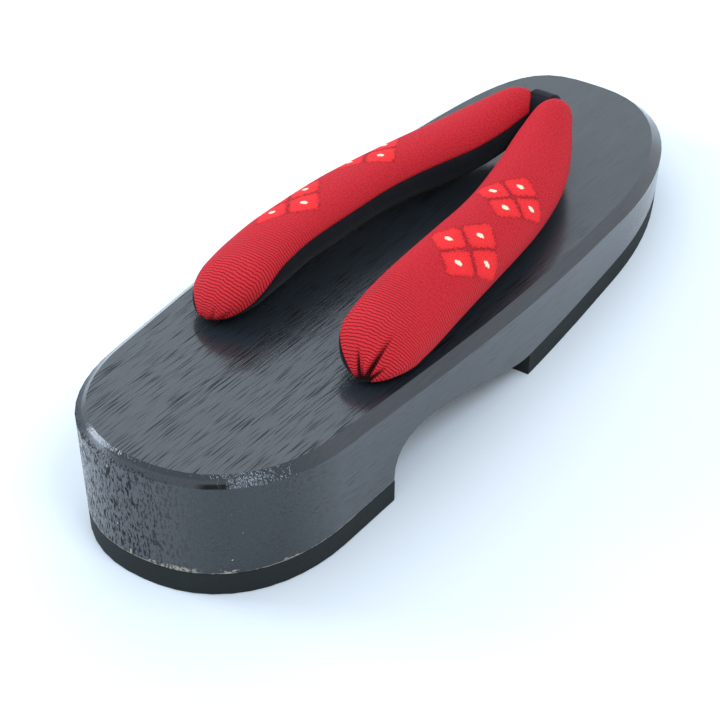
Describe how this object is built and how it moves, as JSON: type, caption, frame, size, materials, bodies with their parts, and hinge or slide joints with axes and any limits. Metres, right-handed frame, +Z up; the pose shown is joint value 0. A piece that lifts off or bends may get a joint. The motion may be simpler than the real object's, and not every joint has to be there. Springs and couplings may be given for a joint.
{
  "type": "geta sandal",
  "caption": "Right geta: one-block black lacquered board with an arched waist, rubber pads at heel and forefoot, and a padded cloth thong that forms a V.",
  "frame": {"origin": "on the floor, under the middle of the sandal's bounding box", "axes": "+Z up, +Y from heel to toe, +X to the wearer's right"},
  "size_m": [0.0805, 0.235, 0.0479],
  "materials": {
    "lacquered_wood": "thin black lacquer that shows the grain, semi-gloss",
    "rubber": "matt, fine texture",
    "crepe": "red crepe with a printed lozenge pattern",
    "velvet": "black velvet",
    "cord": "black twisted cord"
  },
  "bodies": {
    "root": {"board": "lacquered_wood", "heel_pad": "rubber", "forefoot_pad": "rubber", "strap_cover": "crepe", "strap_lining_right": "velvet", "strap_lining_left": "velvet", "toe_loop": "velvet", "toe_cord": "cord", "rear_cord_right": "cord", "rear_cord_left": "cord"}
  },
  "joints": []
}
